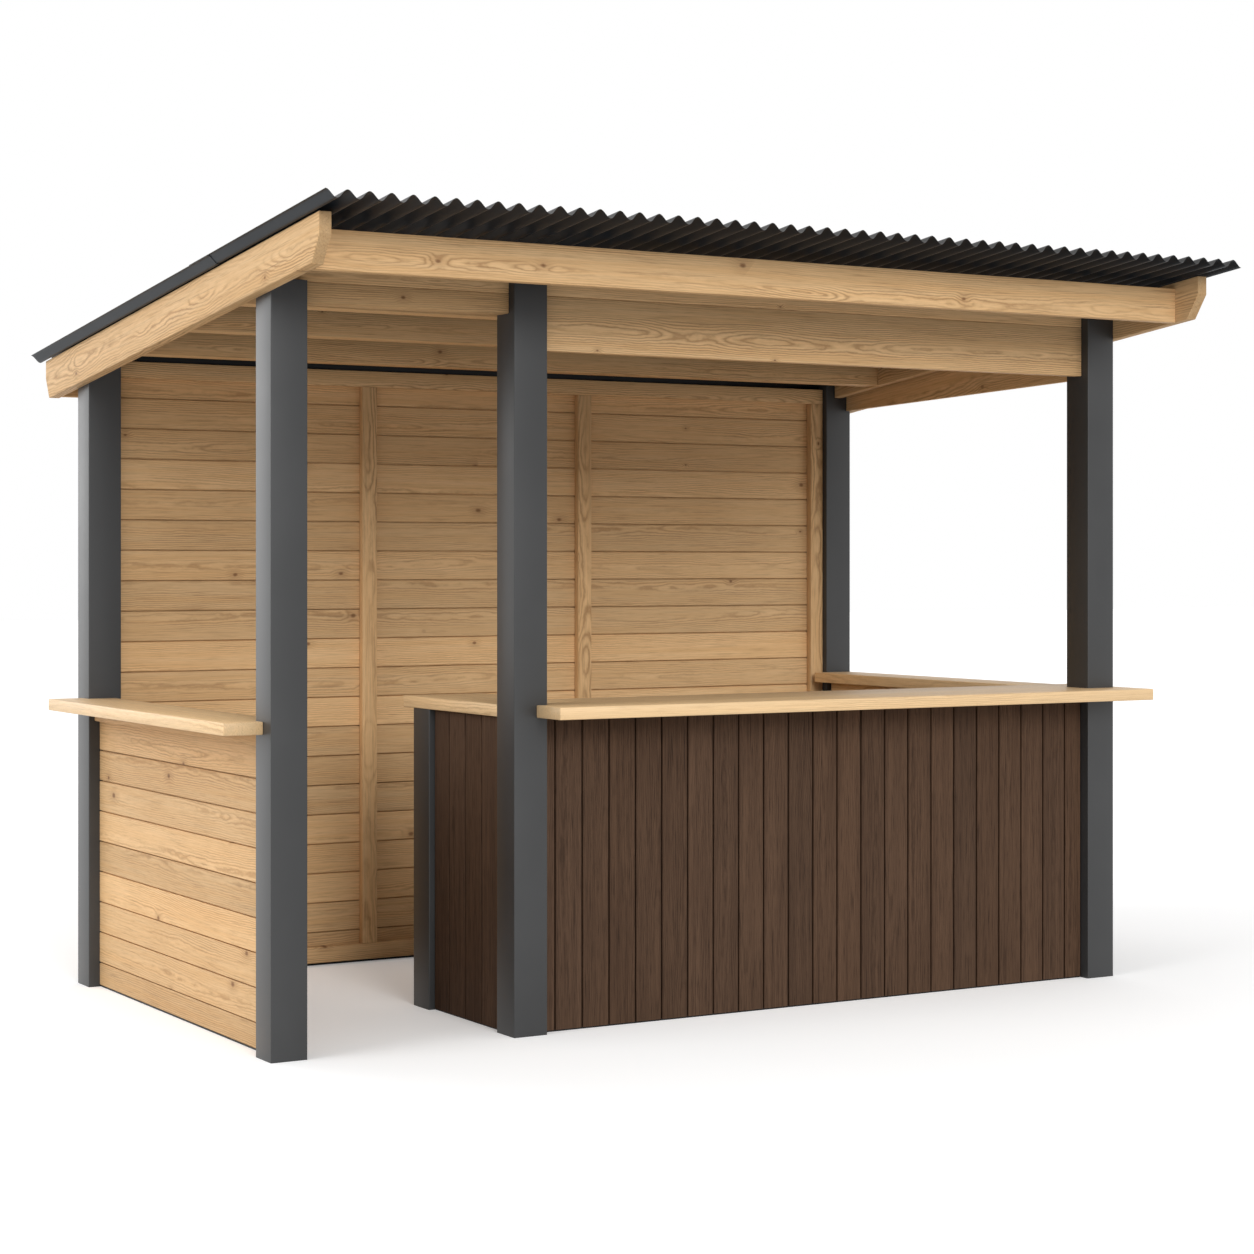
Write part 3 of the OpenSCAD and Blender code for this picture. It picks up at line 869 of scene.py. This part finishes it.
class GARDENBAR_OT_wall_boards(bpy.types.Operator):
    """Matched horizontal boards of the back wall and the left wall"""

    bl_idname = "garden_bar.wall_boards"
    bl_label = "Wall Boards"

    def execute(self, context):
        sizes = context.scene.garden_bar_sizes
        low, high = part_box("back_wall_boards")
        seams = even_seams(sizes.back_board_pitch, sizes.back_board_pitch, high.z - low.z)
        board_wall(
            "back_wall_planks", "wall_boards", "back_wall_boards", Vector((low.x, low.y, low.z)), RIGHT, UP,
            seams, high.x - low.x, 3, sizes.board_gap,
        )
        low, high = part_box("left_wall_boards")
        seams = even_seams(0.082, sizes.left_board_pitch, high.z - low.z)
        board_wall(
            "left_wall_planks", "wall_boards", "left_wall_boards", Vector((low.x, high.y, low.z)), -BACK, UP,
            seams, high.y - low.y, 11, sizes.board_gap,
        )
        return {"FINISHED"}


class GARDENBAR_OT_cladding(bpy.types.Operator):
    """Upright dark boards round the bar"""

    bl_idname = "garden_bar.cladding"
    bl_label = "Cladding"

    def execute(self, context):
        sizes = context.scene.garden_bar_sizes
        low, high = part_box("bar_front_boards")
        seams = even_seams(0.050, sizes.cladding_pitch, high.x - low.x)
        board_wall(
            "bar_front_planks", "dark_cladding", "bar_front_boards", Vector((low.x, low.y, high.z)), -UP, RIGHT,
            seams, high.z - low.z, 21, sizes.cladding_gap,
        )
        low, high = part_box("bar_return_boards")
        seams = even_seams(0.110, sizes.return_pitch, high.y - low.y)
        board_wall(
            "bar_return_planks", "dark_cladding", "bar_return_boards", Vector((low.x, high.y, high.z)), -UP, -BACK,
            seams, high.z - low.z, 41, sizes.cladding_gap,
        )
        low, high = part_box("right_wall_boards")
        seams = even_seams(0.030, sizes.cladding_pitch, high.y - low.y)
        board_wall(
            "right_wall_planks", "dark_cladding", "right_wall_boards", Vector((high.x, low.y, high.z)), -UP, BACK,
            seams, high.z - low.z, 61, sizes.cladding_gap,
        )
        return {"FINISHED"}


class GARDENBAR_OT_base_shadow_strips(bpy.types.Operator):
    """Black strips under the walls that paint the dark shadow line between the walls and the ground"""

    bl_idname = "garden_bar.base_strips"
    bl_label = "Base Strips"

    def execute(self, context):
        setback = context.scene.garden_bar_sizes.strip_setback
        shape = bmesh.new()
        for node in WALLS:
            low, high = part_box(node)
            inset = Vector((setback, setback, 0.0))
            start, end = Vector((low.x, low.y, 0.0)) + inset, Vector((high.x, high.y, low.z)) - inset
            place = Matrix.Translation((start + end) / 2) @ Matrix.Diagonal((*(end - start), 1.0))
            bmesh.ops.create_cube(shape, size=1.0, matrix=place)
        # Black coated strips set back under the boards, put there to paint the shadow line at the foot of the walls
        settle(to_mesh(shape, "base_strips"), "base_strips", "roof_metal", [])
        return {"FINISHED"}


class GARDENBAR_OT_timbers(bpy.types.Operator):
    """Rails, battens, beams, purlins, rafters and the framing of the low walls"""

    bl_idname = "garden_bar.timbers"
    bl_label = "Timbers"

    def execute(self, context):
        sizes = context.scene.garden_bar_sizes
        ease = sizes.timber_ease
        down_slope = Vector((0, math.cos(sizes.roof_pitch), -math.sin(sizes.roof_pitch)))
        up_slope = RIGHT.cross(down_slope)

        def level(group):
            return RIGHT, UP

        def sloping(group):
            return down_slope, up_slope

        for node in LEVEL_TIMBERS:
            timber(node, node + "_wood", "timber", ease, level)
        for node in SLOPING_TIMBERS:
            timber(node, node + "_wood", "timber", ease, sloping)
        for node in ("back_wall_battens", "left_wall_top_rail", *WALL_FRAMES):
            timber(node, node + "_wood", "timber", ease)
        # The closure over the back wall is given black coated steel, which paints the dark shadow gap between the wall
        # top and the roof
        timber("back_wall_closure", "back_wall_shadow_strip", "roof_metal", 0.001, level)
        return {"FINISHED"}


class GARDENBAR_OT_worktops(bpy.types.Operator):
    """Worktops round the bar and the drinks shelf"""

    bl_idname = "garden_bar.worktops"
    bl_label = "Worktops"

    def execute(self, context):
        ease = context.scene.garden_bar_sizes.worktop_ease
        for node in ("worktop_front", "worktop_left_return", "worktop_right_return", "drinks_shelf"):
            timber(node, node + "_top", "worktop", ease)
        return {"FINISHED"}


class GARDENBAR_OT_roof_sheets(bpy.types.Operator):
    """Corrugated sheets in two rows of three"""

    bl_idname = "garden_bar.roof_sheets"
    bl_label = "Roof Sheets"

    def execute(self, context):
        sizes = context.scene.garden_bar_sizes
        slope = sizes.roof_pitch
        down_slope = Vector((0, math.cos(slope), -math.sin(slope)))
        tall = sizes.wave_height + sizes.sheet_thickness
        for node in ROOF_SHEETS:
            low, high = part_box(node)
            width = high.x - low.x
            length = (high.y - low.y - tall * math.sin(slope)) / math.cos(slope)
            start = Vector((low.x, low.y, high.z - tall * math.cos(slope)))
            base = bpy.data.meshes.new("grid")
            mesh = grow("sheet", base, {
                "Width": width, "Length": length, "Columns": int(width / sizes.wave_pitch * 16) + 1,
                "Pitch": sizes.wave_pitch, "Height": sizes.wave_height, "Thickness": sizes.sheet_thickness,
                "Material": finish("roof_metal"),
            })
            place_mesh(mesh, start, RIGHT, down_slope)
            mesh.shade_smooth()
            mesh.set_sharp_from_angle(angle=math.radians(40))
            settle(mesh, node + "_metal", "roof_metal", [node])
        return {"FINISHED"}


class GARDENBAR_OT_roof_screws(bpy.types.Operator):
    """Screws with washers on the crests over every purlin and fascia board"""

    bl_idname = "garden_bar.roof_screws"
    bl_label = "Roof Screws"

    def execute(self, context):
        sizes = context.scene.garden_bar_sizes
        slope = sizes.roof_pitch
        down_slope = Vector((0, math.cos(slope), -math.sin(slope)))
        tall = sizes.wave_height + sizes.sheet_thickness
        rows = []
        for node in ("front_fascia", "purlin_front", "purlin_middle", "purlin_back", "back_fascia"):
            low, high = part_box(node)
            rows.append((low.y + high.y) / 2)
        upper_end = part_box("roof_sheet_front_left")[1].y
        metal = fixing_finish("Screw heads", (0.16, 0.16, 0.165))
        for node in ROOF_SHEETS:
            low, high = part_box(node)
            first = 2 if node.endswith("right") else 1
            count = int(((high.x - low.x) / sizes.wave_pitch - first - 0.4) / 3) + 1
            meshes = []
            for index, place in enumerate(rows):
                on_sheet = place < upper_end if "front" in node else place > upper_end
                if not on_sheet:
                    continue
                mesh = grow("screws", roofing_screw(), {
                    "Count": count, "Pitch": 3 * sizes.wave_pitch, "Seed": index + len(node), "Material": metal,
                })
                fall = math.tan(slope) * (place - low.y - tall * math.sin(slope))
                origin = Vector((low.x + first * sizes.wave_pitch, place, high.z - fall))
                meshes.append(place_mesh(mesh, origin, RIGHT, down_slope))
            name = node.replace("sheet", "screws")
            settle(join_meshes(meshes, name), name, "roof_metal", [], metal)
        return {"FINISHED"}


class GARDENBAR_OT_stage(bpy.types.Operator):
    """Pale floor, soft light and the camera"""

    bl_idname = "garden_bar.stage"
    bl_label = "Stage"

    def execute(self, context):
        stage = context.scene.garden_bar_stage
        self.add_floor(stage)
        self.add_world(context.scene, stage)
        self.add_sun(context.scene, "Front light", stage.front, 6, 21, 26)
        self.add_sun(context.scene, "Side light", stage.side, 87, 28, 40)
        self.add_sun(context.scene, "Rim light", stage.rim, 157, 14, 40)
        self.add_camera(context.scene, stage)
        context.scene.view_settings.view_transform = "Standard"
        return {"FINISHED"}

    @staticmethod
    def seen_directly(patch):
        """1 where the camera, a mirror or glass looks, 0 for light."""
        path = patch.node("ShaderNodeLightPath")
        looks = path.out("Is Camera Ray") + path.out("Is Glossy Ray") + path.out("Is Transmission Ray")
        return looks.sum("MINIMUM", looks, 1.0)

    def add_floor(self, stage):
        mesh = bpy.data.meshes.new("floor")
        reach = 60.0
        mesh.from_pydata([(-reach, -reach, 0), (reach, -reach, 0), (reach, reach, 0), (-reach, reach, 0)], [], [(0, 1, 2, 3)])
        floor = bpy.data.objects.new("floor", mesh)
        bpy.context.scene.collection.objects.link(floor)
        material, patch = new_finish("Pale floor")
        plain = patch.node("ShaderNodeBsdfDiffuse", None, {"Color": colour(stage.floor_tone)})
        bright = patch.node("ShaderNodeBsdfDiffuse", None, {"Color": (0.93, 0.93, 0.93, 1.0)})
        glow = patch.node("ShaderNodeEmission", None, {"Strength": 0.19})
        seen = patch.node("ShaderNodeAddShader", None, {0: bright, 1: glow})
        both = patch.node("ShaderNodeMixShader", None, {0: self.seen_directly(patch), 1: plain, 2: seen})
        patch.node("ShaderNodeOutputMaterial", None, {"Surface": both})
        mesh.materials.append(material)

    def add_world(self, scene, stage):
        world = bpy.data.worlds.new("Studio")
        world.use_nodes = True
        world.node_tree.nodes.clear()
        patch = Patch(world.node_tree)
        light = patch.node("ShaderNodeBackground", None, {"Color": (1.0, 1.0, 1.0, 1.0), "Strength": stage.ambient})
        white = patch.node("ShaderNodeBackground", None, {"Color": (1.0, 1.0, 1.0, 1.0), "Strength": 1.0})
        both = patch.node("ShaderNodeMixShader", None, {0: self.seen_directly(patch), 1: light, 2: white})
        patch.node("ShaderNodeOutputWorld", None, {0: both})
        scene.world = world

    def add_sun(self, scene, name, strength, turn, height, width):
        """A soft light from a direction counted from the front to the left, all angles in degrees."""
        lamp = bpy.data.lights.new(name, "SUN")
        lamp.energy = strength
        lamp.angle = math.radians(width)
        sun = bpy.data.objects.new(name, lamp)
        scene.collection.objects.link(sun)
        turn, height = math.radians(turn), math.radians(height)
        towards = Vector((
            math.sin(turn) * math.cos(height), math.cos(turn) * math.cos(height), -math.sin(height),
        ))
        sun.rotation_euler = towards.to_track_quat("-Z", "Y").to_euler()

    def add_camera(self, scene, stage):
        data = bpy.data.cameras.new("Camera")
        data.lens = stage.lens
        data.sensor_width = 36.0
        data.shift_x, data.shift_y = stage.shift
        data.clip_end = 200.0
        camera = bpy.data.objects.new("Camera", data)
        camera.location = stage.camera_place
        camera.rotation_euler = (math.radians(90), 0.0, -stage.camera_turn)
        scene.collection.objects.link(camera)
        scene.camera = camera


STEPS = (
    GARDENBAR_OT_posts, GARDENBAR_OT_wall_boards, GARDENBAR_OT_cladding, GARDENBAR_OT_base_shadow_strips,
    GARDENBAR_OT_timbers, GARDENBAR_OT_worktops, GARDENBAR_OT_roof_sheets, GARDENBAR_OT_roof_screws,
    GARDENBAR_OT_stage,
)


class GARDENBAR_PT_panel(bpy.types.Panel):
    """Lists the steps of the garden bar"""

    bl_idname = "GARDENBAR_PT_panel"
    bl_label = "Garden Bar"
    bl_space_type = "VIEW_3D"
    bl_region_type = "UI"
    bl_category = "Garden Bar"

    def draw(self, context):
        for step in STEPS:
            self.layout.operator(step.bl_idname)
        for label, group in (("Sizes", "garden_bar_sizes"), ("Colours", "garden_bar_colours"), ("Stage", "garden_bar_stage")):
            box = self.layout.box()
            box.label(text=label)
            settings = getattr(context.scene, group)
            for name in settings.bl_rna.properties.keys():
                if name not in ("rna_type", "name"):
                    box.prop(settings, name)


CLASSES = (GardenBarSizes, GardenBarColours, GardenBarStage, *STEPS, GARDENBAR_PT_panel)


def register():
    for cls in CLASSES:
        bpy.utils.register_class(cls)
    bpy.types.Scene.garden_bar_sizes = bpy.props.PointerProperty(type=GardenBarSizes)
    bpy.types.Scene.garden_bar_colours = bpy.props.PointerProperty(type=GardenBarColours)
    bpy.types.Scene.garden_bar_stage = bpy.props.PointerProperty(type=GardenBarStage)


def unregister():
    del bpy.types.Scene.garden_bar_stage
    del bpy.types.Scene.garden_bar_colours
    del bpy.types.Scene.garden_bar_sizes
    for cls in reversed(CLASSES):
        bpy.utils.unregister_class(cls)


def main():
    register()
    for step in STEPS:
        group, name = step.bl_idname.split(".")
        getattr(getattr(bpy.ops, group), name)()


if __name__ == "__main__":
    main()
